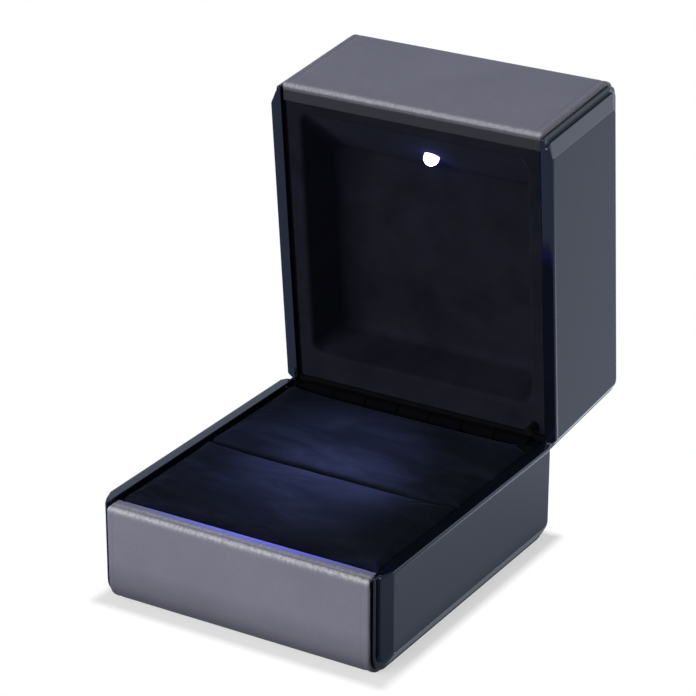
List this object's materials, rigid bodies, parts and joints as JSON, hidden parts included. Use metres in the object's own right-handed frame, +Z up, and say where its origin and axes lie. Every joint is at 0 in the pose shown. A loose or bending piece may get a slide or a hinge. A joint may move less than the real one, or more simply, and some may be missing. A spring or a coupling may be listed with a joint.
{
  "type": "led ring box",
  "caption": "Small leatherette ring box with glossy bevelled ends, a hinged lid that stands open, velvet pads with a ring slit, and a lamp under the lid.",
  "frame": {"origin": "middle of the base's flat underside, with the lid open as stored", "axes": "+Z up, the front faces -Y, and the hinge runs along X at the back"},
  "size_m": [0.06, 0.0942, 0.0854],
  "materials": {
    "core_black": "satin",
    "leatherette": "satin",
    "panel_slate": "gloss",
    "velvet_navy": "matte",
    "board_grey": "matte",
    "hinge_black": "satin",
    "hinge_steel": "satin",
    "liner_black": "matte",
    "lamp_clear": "gloss",
    "circuit_green": "satin",
    "screw_steel": "satin",
    "holder_black": "matte",
    "cell_silver": "satin",
    "contact_brass": "satin",
    "plunger_black": "satin",
    "wire_black": "satin",
    "wire_red": "satin"
  },
  "bodies": {
    "base": {"base_core": "core_black", "base_wrap": "leatherette", "base_panel_right": "panel_slate", "base_panel_left": "panel_slate", "ring_pad_front": "velvet_navy", "ring_pad_rear": "velvet_navy", "pad_board": "board_grey", "hinge_leaf_base": "hinge_black", "hinge_rivets_base": "hinge_steel", "hinge_pin": "hinge_black"},
    "lid": {"lid_core": "core_black", "lid_wrap": "leatherette", "lid_panel_right": "panel_slate", "lid_panel_left": "panel_slate", "hinge_leaf_lid": "hinge_black", "hinge_rivets_lid": "hinge_steel", "lid_liner": "liner_black", "led_lamp": "lamp_clear", "led_board": "circuit_green", "board_screws": "screw_steel", "battery_holder": "holder_black", "button_cells": "cell_silver", "battery_contacts": "contact_brass", "battery_bridge": "contact_brass", "switch_body": "holder_black", "wire_battery_lamp": "wire_black", "wire_battery_switch": "wire_red", "wire_switch_lamp": "wire_red"},
    "plunger": {"switch_plunger": "plunger_black"}
  },
  "joints": [
    {"name": "lid_hinge", "type": "hinge", "parent": "base", "child": "lid", "pos_m": [0, 0.031, 0.0191], "axis": [1, 0, 0], "range_deg": [0, 84.7]},
    {"name": "plunger_press", "type": "slide", "parent": "lid", "child": "plunger", "axis": [0, 0.9957, 0.0924], "range_m": [0, 0.0012]}
  ],
  "couplings": [
    {"joint": "plunger_press", "follows": "lid_hinge", "m_per_rad": 0.000811}
  ]
}
